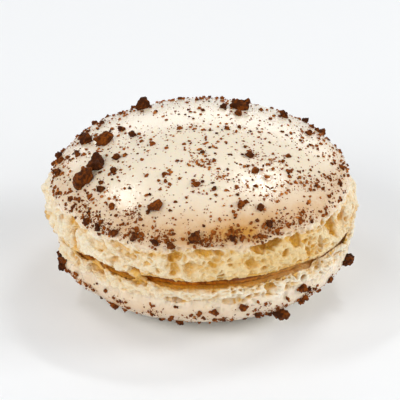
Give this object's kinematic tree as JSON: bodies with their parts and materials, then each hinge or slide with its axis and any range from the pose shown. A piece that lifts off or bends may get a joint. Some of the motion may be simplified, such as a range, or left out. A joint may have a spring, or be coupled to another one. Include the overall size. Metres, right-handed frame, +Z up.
{
  "type": "french macaron",
  "caption": "Almond meringue sandwich biscuit: two domed cream-coloured shells with ruffled feet round a thin dark filling, dusted with cocoa crumbs.",
  "frame": {"origin": "On the resting plane, at the centre of the flat spot that the macaron stands on, straight below the upper shell's centre.", "axes": "+Z is up, from the lower shell to the upper one. -Y is the front and +X is the right-hand side seen from the front."},
  "size_m": [0.0467, 0.0461, 0.0246],
  "materials": {
    "shell": "baked almond meringue, cream, satin on the cap and spongy on the foot",
    "filling": "dark caramel and cocoa cream, slightly glossy",
    "cocoa_crumb": "dry dark cocoa biscuit crumb"
  },
  "bodies": {
    "root": {"upper_shell": "shell", "filling": "filling", "lower_shell": "shell"}
  },
  "joints": []
}
